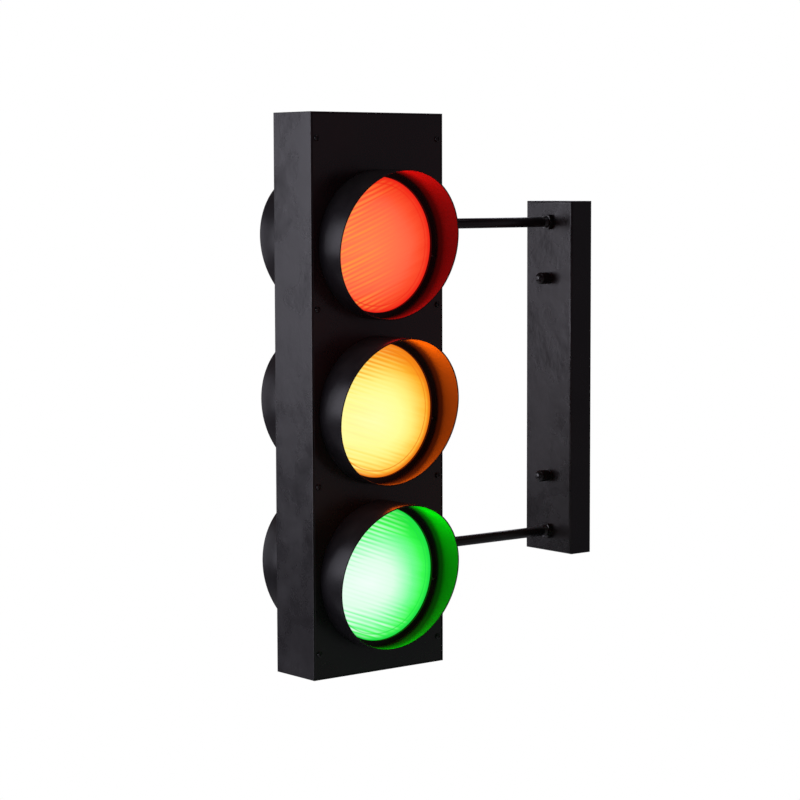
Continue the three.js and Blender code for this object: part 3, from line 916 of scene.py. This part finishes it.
def makePanelScrews():
    under = atY(middle(panelScrews[0]), panelLow.y - 0.3 * mm)
    first = makePanScrew("cover_screw_1", under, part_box(panelScrews[0])[1].y - under.y)
    fitCopies(
        first, panelScrews[0], panelScrews, "cover_screw_{end}", "front_panel_set", "black_screw", oxide)


makeHousing()
makePanel()
makePanelScrews()
print("head made")


# Hoods, lenses and their rings, front and rear

hood = {
    "radius": 66.5 * mm, "opening": 60.2 * mm, "sheet": 1.2 * mm, "middleLength": 31 * mm, "slant": 11.8 * mm,
    "rimRound": 0.3 * mm, "screwCircle": 62.7 * mm, "screwAngles": (-10, 110, 230), "screwLength": 4 * mm,
    "screwScale": 0.72,
}
lensRing = inMm(bore=57.5, recess=61.9, cup=63.1, flange=66, sheet=1.2, depth=4.5, ledge=3.3)


def makeHood():
    # Tube with a base flange, cut off at a slant so that its top is longest.
    base = atY(lampPlaces["red"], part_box("hood_front_red")[1].y)
    longest = hood["middleLength"] + hood["slant"] + 5 * mm
    outline = [(hood["opening"], 0), (hood["radius"], 0), (hood["radius"], longest)]
    shell = turned("hood_visor_front_red", outline, base, forwards, steps=160)
    cut = atY(base, base.y - hood["middleLength"])
    score(shell, cut, (0, -1, -hood["slant"] / hood["radius"]), clear_outer=True)
    letGo()
    finishWith(shell, "SOLIDIFY", thickness=hood["sheet"], offset=-1, use_even_offset=True)
    softenEdges(shell, hood["rimRound"], segments=3, limit=50)
    smooth(shell)
    return shell


def makeHoodScrews():
    base = atY(lampPlaces["red"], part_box("hood_front_red")[1].y - hood["sheet"])
    screws = []
    for angle in hood["screwAngles"]:
        turn = math.radians(angle)
        under = base + Vector((math.cos(turn), 0, math.sin(turn))) * hood["screwCircle"]
        screws.append(makePanScrew("hood_screws_front_red", under, hood["screwLength"], hood["screwScale"]))
    return joined(screws)


def makeLens(colour):
    # A disc scored along its ribs, raised to a dome, and its ribs pulled up.
    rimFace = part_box(f"lens_front_{colour}")[1].y - lens["seat"]
    centre = atY(lampPlaces[colour], rimFace)
    turn = math.radians(lensLooks[colour]["ribTurn"])
    alongRib = Vector((math.cos(turn), 0, math.sin(turn)))
    acrossRib = Vector((-math.sin(turn), 0, math.cos(turn)))
    letGo()
    bpy.ops.mesh.primitive_circle_add(
        vertices=160, radius=lens["radius"], fill_type="NGON", location=centre, rotation=(quarterTurn, 0, 0))
    disc = settle(f"lens_ribbed_front_{colour}")
    step = lens["ribPitch"] / 4
    for direction, pitch, spare in ((acrossRib, step, 0), (alongRib, lens["crossPitch"], 1)):
        count = int(lens["radius"] / pitch) - spare
        for number in range(-count, count + 1):
            score(disc, centre + direction * number * pitch, direction)
    domeReach = lens["radius"] - lens["rimWidth"]
    pick(disc, "verts", lambda vert: (vert.co - centre).length < 0.1 * mm)
    bpy.ops.transform.translate(
        value=(0, -lens["rise"], 0), use_proportional_edit=True,
        proportional_edit_falloff="INVERSE_SQUARE", proportional_size=domeReach)
    for phase, lift in ((0, 1.0), (1, 0.5), (3, 0.5)):
        def onRib(vert):
            away = atY(vert.co, rimFace) - centre
            place = away.dot(acrossRib)
            line = round(place / step)
            return line % 4 == phase and abs(place - line * step) < 0.05 * mm and away.length < domeReach
        pick(disc, "verts", onRib)
        bpy.ops.transform.translate(value=(0, -lens["ribHeight"] * lift, 0))
    letGo()
    finishWith(disc, "SOLIDIFY", thickness=lens["thickness"], offset=-1)
    softenEdges(disc, lens["edge"], limit=60)
    smooth(disc, 40)
    return disc


def makeLensRing():
    # Joggled steel ring that holds a lens from behind.
    front = atY(lampPlaces["red"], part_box("lens_ring_front_red")[0].y)
    corners = [
        ("recess", 0), ("flange", 0), ("flange", lensRing["sheet"]), ("cup", lensRing["sheet"]),
        ("cup", lensRing["depth"]), ("bore", lensRing["depth"]), ("bore", lensRing["ledge"]),
        ("recess", lensRing["ledge"]),
    ]
    outline = [(lensRing[radius], along) for radius, along in corners]
    ring = turned("lens_clamp_front_red", outline, front, backwards, steps=128, ring=True)
    softenEdges(ring, 0.2 * mm)
    smooth(ring)
    return ring


def fitBothSides(front, word, slotName, material, nodeWord=None):
    # A red front piece stays, and its twins go to the other lamps and to the rear.
    pieces = {("front", "red"): front}
    for side in sides:
        for colour in colours:
            if (side, colour) not in pieces:
                move = lampPlaces[colour] - lampPlaces["red"]
                about = headMiddle if side == "rear" else None
                pieces[side, colour] = copied(front, f"{word}_{side}_{colour}", move, about)
    for (side, colour), piece in pieces.items():
        nodes = [f"{nodeWord}_{side}_{colour}"] if nodeWord else []
        fitted(piece, sideBodies[side], slotName, material, *nodes)


def makeLamps():
    fitBothSides(makeHood(), "hood_visor", "black_paint", visorPaint, "hood")
    fitBothSides(makeHoodScrews(), "hood_screws", "black_screw", oxide)
    fitBothSides(makeLensRing(), "lens_clamp", "zinc_steel", zinc, "lens_ring")
    for colour in colours:
        front = makeLens(colour)
        rear = copied(front, f"lens_ribbed_rear_{colour}", turnAbout=headMiddle)
        for side, piece in (("front", front), ("rear", rear)):
            glass = lensMaterials[colour]
            fitted(piece, sideBodies[side], f"{colour}_glass", glass, f"lens_{side}_{colour}")


makeLamps()
print("hoods and lenses made")


# Inside the head: rail, holders, bulbs and wiring

holder = {
    "radius": 19.5 * mm, "wall": 4.4 * mm, "floor": 9 * mm, "nipple": 5 * mm, "nippleRoot": 4.5 * mm,
    "nippleLength": 4 * mm, "grooves": (10, 13, 16), "grooveDepth": 0.8 * mm, "collarDepth": 1 * mm,
    "edge": 0.25 * mm,
}
bulb = inMm(
    capRadius=13, capLength=26, threadPitch=3.6, threadDepth=0.9, threadFrom=7.2, wall=1.2, floor=8,
    globeRadius=22.5, neckRadius=11.5, glass=1.2)
rail = inMm(sheet=1.5, bend=1.6, hole=5.3, edge=0.15)
wiring = inMm(trunk=1.6, branch=1.2)


def makeHolder():
    place, whole = roundPlace("lampholder_red")
    seat = place + towardsArms * holder["nippleLength"]
    length = whole - holder["nippleLength"]
    radius = holder["radius"]
    grooved = radius - holder["grooveDepth"]
    collar = radius - holder["collarDepth"]
    bore = radius - holder["wall"]
    outline = [(0, -holder["nippleLength"])]
    outline += thread(-3.9 * mm, 4, mm, holder["nippleRoot"], holder["nipple"], rise=0.4)
    outline += [(holder["nippleRoot"], 0), (radius * 0.78, 0), (radius, 4 * mm), (radius, 10 * mm)]
    for groove in holder["grooves"]:
        outline += [(grooved, (groove + 0.6) * mm), (grooved, (groove + 1.6) * mm)]
        outline += [(radius, (groove + 2.2) * mm), (radius, (groove + 3) * mm)]
    outline += [
        (radius, length - 6 * mm), (collar, length - 5.4 * mm), (collar, length - 4 * mm),
        (radius, length - 3.4 * mm), (radius, length - 1.4 * mm), (collar, length),
        (bore + 0.6 * mm, length), (bore, length - 0.8 * mm), (bore, holder["floor"]), (0, holder["floor"]),
    ]
    piece = turned("screw_lampholder_red", outline, seat, towardsArms, steps=72)
    softenEdges(piece, holder["edge"], limit=50)
    smooth(piece, 40)
    return piece


def makeBulbCap():
    # Contact, dark insulator and a rolled thread.
    start, length = roundPlace("bulb_cap_red")
    radius = bulb["capRadius"]
    outline = [
        (0, 0), (4 * mm, 0), (4.8 * mm, 0.8 * mm), (5.5 * mm, 2.2 * mm), (10 * mm, 5 * mm),
        (radius * 0.9, 6.5 * mm),
    ]
    samples = 40
    first = bulb["threadFrom"]
    last = bulb["capLength"] - 3 * mm
    for number in range(samples + 1):
        along = first + (last - first) * number / samples
        wave = 0.5 - 0.5 * math.cos(fullTurn * (along - first) / bulb["threadPitch"])
        outline.append((radius - bulb["threadDepth"] * (1 - wave), along))
    inner = radius - bulb["wall"]
    skirt = radius - 0.3 * mm
    outline += [
        (skirt, last + 0.8 * mm), (skirt, bulb["capLength"]), (inner, bulb["capLength"]),
        (inner, bulb["floor"]), (0, bulb["floor"]),
    ]
    cap = turned("bulb_screw_cap_red", outline, start, towardsArms)
    cap.data.materials.append(nickel)
    cap.data.materials.append(phenolic)
    for face in cap.data.polygons:
        if 1.2 * mm < face.center.x - start.x < 6 * mm and (face.center - start).length < 12 * mm:
            face.material_index = 1
    smooth(cap, 45)
    return cap


def makeGlobe():
    foot, length = roundPlace("bulb_globe_red")
    centre = length - bulb["globeRadius"]

    def skin(inset):
        radius = bulb["globeRadius"] - inset
        neck = bulb["neckRadius"] - inset
        start = -math.acos(neck / radius)
        points = [(neck, 0), (neck, centre - radius - 0.5 * mm)] if centre > radius else [(neck, 0)]
        steps = 18
        for number in range(steps):
            angle = start + (quarterTurn - start) * number / steps
            points.append((radius * math.cos(angle), centre + radius * math.sin(angle)))
        return points + [(0, centre + radius)]

    glass = turned("bulb_glass_red", skin(bulb["glass"])[::-1] + skin(0), foot, towardsArms)
    smooth(glass, 60)
    return glass


def makeRail():
    low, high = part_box("holder_rail")
    folds = [(lambda edge: runsAlong(edge, 2) and edgeMiddle(edge).x > high.x - mm, rail["bend"], 4)]
    channel = foldedSheet(
        "holder_channel", low, high, lambda face: face.normal.x < -0.9 or abs(face.normal.z) > 0.9, folds,
        rail["sheet"])
    cutWith(channel, drills(lampPlaces.values(), rail["hole"], atX, low.x, high.x + mm, 40))
    finished(channel, rail["edge"], "lamp", "zinc_steel", zinc, "holder_rail")


def makeWiring():
    # A trunk runs down beside the nipples, with a short branch to each holder.
    low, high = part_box("holder_wiring")
    x = (low.x + high.x) / 2
    trunkY = high.y - wiring["trunk"]
    trunkRoute = [(x, trunkY, z) for z in (low.z, (low.z + high.z) / 2, high.z)]
    runs = [laidWire("holder_tails", trunkRoute, wiring["trunk"])]
    for place in lampPlaces.values():
        route = [(x, y, place.z) for y in (low.y, (low.y + trunkY) / 2, trunkY)]
        runs.append(laidWire("branch", route, wiring["branch"]))
    tails = joined(runs)
    smooth(tails, 60)
    fitted(tails, "lamp", "cable_sheath", sheath, "holder_wiring")


def makeInside():
    kinds = [
        (makeHolder(), "lampholder", "screw_lampholder_{end}", "lamp", "phenolic", phenolic),
        (makeBulbCap(), "bulb_cap", "bulb_screw_cap_{end}", "{node}", "nickel_cap", nickel),
        (makeGlobe(), "bulb_globe", "bulb_glass_{end}", "{node}", "opal_glass", opal),
    ]
    for first, word, *plan in kinds:
        nodes = [f"{word}_{colour}" for colour in colours]
        fitCopies(first, nodes[0], nodes, *plan)
    makeRail()
    makeWiring()


makeInside()
print("inside made")


# Arms and their lock nuts

arm = inMm(radius=4.75, bore=3.6, threadLength=17, threadPitch=1, threadDepth=0.4)
lockNut = inMm(acrossCorners=16.2, bore=5.05, chamfer=0.7, edge=0.15)


def makeArm():
    start, length = roundPlace("arm_tube_upper")
    radius = arm["radius"]
    root = radius - arm["threadDepth"]
    pitch = arm["threadPitch"]
    turns = int(arm["threadLength"] / pitch)
    threaded = turns * pitch
    outline = [(arm["bore"], 0), (root, 0), *thread(0.15 * pitch, turns, pitch, root, radius, rise=0.35)]
    outline += [(root, threaded), (radius, threaded + 0.5 * mm), (radius, length / 2)]
    mirrored = [(reach, length - along) for reach, along in reversed(outline[:-1])]
    tube = turned("arm_pipe_upper", outline + mirrored, start, towardsArms, steps=48, ring=True)
    smooth(tube, 50)
    return tube


def makeNut(node):
    # Hexagon trimmed by a turned blank, so that its corners are chamfered, and then bored.
    start, thickness = roundPlace(node)
    end = start + towardsArms * thickness
    corner = lockNut["acrossCorners"] / 2
    nut = addRod(f"lock_{node}", corner, start, end, 6)
    pickAll(nut)
    bpy.ops.transform.rotate(value=quarterTurn, orient_axis="X", center_override=start)
    letGo()
    chamfer = lockNut["chamfer"]
    wide = corner + 0.2 * mm
    outline = [
        (0, -justOver), (corner - chamfer, -justOver), (wide, chamfer * 0.75),
        (wide, thickness - chamfer * 0.75), (corner - chamfer, thickness + justOver),
        (0, thickness + justOver),
    ]
    cutWith(nut, [turned("blank", outline, start, towardsArms, steps=96)], operation="INTERSECT")
    cutWith(nut, [addRod("bore", lockNut["bore"], atX(start, start.x - mm), atX(end, end.x + mm), 48)])
    softenEdges(nut, lockNut["edge"], limit=35)
    smooth(nut, 30)
    return nut


def makeArms():
    tubes = [f"arm_tube_{level}" for level in levels]
    places = ("head_inner", "head_outer", "canopy_outer", "canopy_inner")
    nuts = [f"arm_nut_{level}_{place}" for level in levels for place in places]
    firstNut = "arm_nut_upper_head_outer"
    fitCopies(makeArm(), tubes[0], tubes, "arm_pipe_{end}", "lamp", "black_paint", paint)
    fitCopies(makeNut(firstNut), firstNut, nuts, "lock_{node}", "lamp", "black_paint", oxide)


makeArms()
print("arms made")


# Wall side: canopy, bracket, studs and their nuts, terminal block and cables

canopy = inMm(sheet=1.2, bend=2.2, weld=0.6, armHole=5.05, studHole=2.8, edge=0.2)
bracket = inMm(slotHalf=5, slotRadius=2.75, slotZ=125, cableHole=9, cableZ=42, edge=0.25)
stud = inMm(radius=2.5, pitch=0.8, head=4.1, headHeight=1, threadFrom=1.6)
domeNut = inMm(radius=5.6, crown=4.2, bore=2.8, boreDepth=10.5, washer=6)


def makeCanopy():
    folds = [
        (lambda edge: edgeMiddle(edge).x < canopyLow.x + mm, canopy["bend"], 5),
        (lambda edge: runsAlong(edge, 0) and edge.calc_length() > 15 * mm, canopy["weld"], 3),
    ]
    shell = foldedSheet(
        "wall_canopy_cover", canopyLow, canopyHigh, lambda face: face.normal.x > 0.9, folds, canopy["sheet"])
    through = (canopyLow.x - 3 * mm, canopyLow.x + 3 * mm)
    holes = []
    for node, radius in (("arm_tube", canopy["armHole"]), ("cap_nut", canopy["studHole"])):
        holes += drills([middle(f"{node}_{level}") for level in levels], radius, atX, *through, 40)
    cutWith(shell, holes)
    finished(shell, canopy["edge"], "lamp", "black_paint", canopyPaint, "wall_canopy")


def makeBracket():
    low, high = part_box("wall_bracket")
    plate = addBlock("wall_fixing_bracket", low, high)
    through = (low.x - mm, high.x + mm)
    half = bracket["slotHalf"]
    radius = bracket["slotRadius"]
    cutWith(plate, drills([Vector((0, 0, bracket["cableZ"]))], bracket["cableHole"], atX, *through, 64))
    for z in (bracket["slotZ"], -bracket["slotZ"]):
        for y in (-half, half):
            cutWith(plate, drills([Vector((0, y, z))], radius, atX, *through, 40))
        cutWith(plate, [addBlock("slot", (through[0], -half, z - radius), (through[1], half, z + radius))])
    finished(plate, bracket["edge"], "lamp", "zinc_steel", zinc, "wall_bracket")


def makeStud():
    start, length = roundPlace("bracket_stud_upper", fromWall=True)
    radius = stud["radius"]
    turns = int((length - 3 * mm) / stud["pitch"])
    outline = [(0, 0), (stud["head"], 0), (stud["head"], stud["headHeight"])]
    outline += thread(stud["threadFrom"], turns, stud["pitch"], radius * 0.84, radius)
    outline += [(radius * 0.7, length - 0.5 * mm), (radius * 0.6, length), (0, length)]
    piece = turned("threaded_stud_upper", outline, start, fromWall, steps=32)
    smooth(piece, 30)
    return piece


def makeDomeNut():
    start, length = roundPlace("cap_nut_upper", fromWall=True)
    radius = domeNut["radius"]
    bore = domeNut["bore"]
    crown = domeNut["crown"]
    outline = [(0, domeNut["boreDepth"]), (bore, domeNut["boreDepth"] - 1.5 * mm), (bore, 0)]
    outline += [(radius - 0.6 * mm, 0), (radius, 0.6 * mm)]
    for number in range(12):
        angle = quarterTurn * number / 12
        outline.append((radius * math.cos(angle), length - crown + crown * math.sin(angle)))
    outline.append((0, length))
    piece = turned("dome_nut_upper", outline, start, fromWall)
    smooth(piece, 40)
    return piece


def makeNutWasher():
    start, thick = roundPlace("nut_washer_upper", fromWall=True)
    bore = domeNut["bore"]
    rim = domeNut["washer"]
    outline = [(bore, 0), (rim, 0), (rim, thick), (bore, thick)]
    piece = turned("dome_nut_washer_upper", outline, start, fromWall, ring=True)
    softenEdges(piece, 0.2 * mm)
    smooth(piece)
    return piece


def makeFasteners():
    kinds = [
        (makeStud(), "bracket_stud", "threaded_stud_{end}", "lamp", "zinc_steel", zinc),
        (makeNutWasher(), "nut_washer", "dome_nut_washer_{end}", "washer_{end}", "black_screw", oxide),
        (makeDomeNut(), "cap_nut", "dome_nut_{end}", "{node}", "black_screw", oxide),
    ]
    for first, word, *plan in kinds:
        nodes = [f"{word}_{level}" for level in levels]
        fitCopies(first, nodes[0], nodes, *plan)


terminal = inMm(
    y=5.5, fromEnd=6, well=2.2, wellDepth=5, way=1.9, wayX=-8, wayDepth=3, saddle=0.6, saddleDepth=2.4,
    round=2, edge=0.2)
clampScrew = inMm(radius=1.9, foot=4.8, top=3.2, slotFloor=3.9, slotHalf=0.3, edge=0.12)


def makeTerminalBlock():
    low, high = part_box("terminal_block")
    body = addBlock("terminal_block_body", low, high)
    bendEdges(body, lambda edge: runsAlong(edge, 2) and edgeMiddle(edge).x < low.x + mm, terminal["round"], 4)
    letGo()
    rows = (-terminal["y"], terminal["y"])
    inset = terminal["fromEnd"]
    wells = [Vector((0, y, z)) for y in rows for z in (low.z + inset, high.z - inset)]
    cutters = drills(wells, terminal["well"], atX, low.x - mm, low.x + terminal["wellDepth"], 32)
    for y in rows:
        mouth = Vector((terminal["wayX"], y, high.z + mm))
        floor = Vector((terminal["wayX"], y, high.z - terminal["wayDepth"]))
        cutters.append(addRod("way", terminal["way"], floor, mouth, 32))
    centreZ = (low.z + high.z) / 2
    saddle = addBlock(
        "saddle", (low.x - mm, low.y - mm, centreZ - terminal["saddle"]),
        (low.x + terminal["saddleDepth"], high.y + mm, centreZ + terminal["saddle"]))
    cutWith(body, cutters)
    cutWith(body, [saddle])
    finished(body, terminal["edge"], "lamp", "block_nylon", nylon, "terminal_block")
    half = clampScrew["slotHalf"]
    heads = []
    for place in wells:
        foot = atX(place, low.x + clampScrew["foot"])
        top = atX(place, low.x + clampScrew["top"])
        head = addRod("terminal_screws", clampScrew["radius"], foot, top, 32)
        cutWith(head, [addBlock(
            "slot", (low.x + 2 * mm, place.y - terminal["well"], place.z - half),
            (low.x + clampScrew["slotFloor"], place.y + terminal["well"], place.z + half))])
        softenEdges(head, clampScrew["edge"])
        heads.append(head)
    heads = joined(heads)
    smooth(heads)
    fitted(heads, "lamp", "zinc_steel", zinc)


def makeCables():
    # The feed runs up in the canopy, through the upper arm, over the red lamp and down into the rail.
    # Each route is a station and the way from it in millimetres.
    wall = Vector((0, 0, 0))
    armMouth = Vector((0, 0, middle("arm_tube_upper").z))
    headSide = atX(armMouth, boxHigh.x)
    overRed = Vector((headMiddle.x, 0, headMiddle.z + 224 * mm))
    sideCorner = atX(overRed, boxHigh.x)
    railCorner = atX(overRed, boxLow.x + 4.8 * mm)
    railEnd = Vector((railCorner.x, 0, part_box("holder_rail")[1].z))
    feedRoute = [
        (wall, (-8, 0, 2)), (wall, (-9, 9, 30)), (wall, (-9, 14, 80)), (wall, (-8, 11, 118)),
        (wall, (-7.5, 3, 139)), (armMouth, (-11, 0, -1.5)), (armMouth, (-17, 0, 0)), (armMouth, (-34, 0, 0)),
        (armMouth, (-100, 0, 0)), (headSide, (4, 0, 0)), (headSide, (-12, 0, 0)), (headSide, (-18, 0, 6)),
        (headSide, (-20, 0, 42)), (sideCorner, (-32, 0, -3)), (overRed, (0, 2, 0)), (railCorner, (22, 6, 0)),
        (railCorner, (6, 8.6, -2)), (railCorner, (0, 8.6, -10)), (railEnd, (0, 8.6, -9.7)),
    ]
    earthRoute = [
        (wall, (-3.8, -16, -60)), (wall, (-7, -15.5, -52)), (wall, (-9, -14.5, -40)),
        (wall, (-9, -13.4, -28)), (wall, (-8.6, -13, -20)),
    ]
    for name, route, radius, slotName, material in (
            ("feed_cable", feedRoute, 2.3 * mm, "cable_sheath", sheath),
            ("earth_lead", earthRoute, 1.3 * mm, "earth_sheath", earthSheath)):
        wire = laidWire(f"{name}_run", [station + Vector(way) * mm for station, way in route], radius)
        smooth(wire, 60)
        fitted(wire, "lamp", slotName, material, name)


makeCanopy()
makeBracket()
makeFasteners()
makeTerminalBlock()
makeCables()
print("wall side made")

letGo()
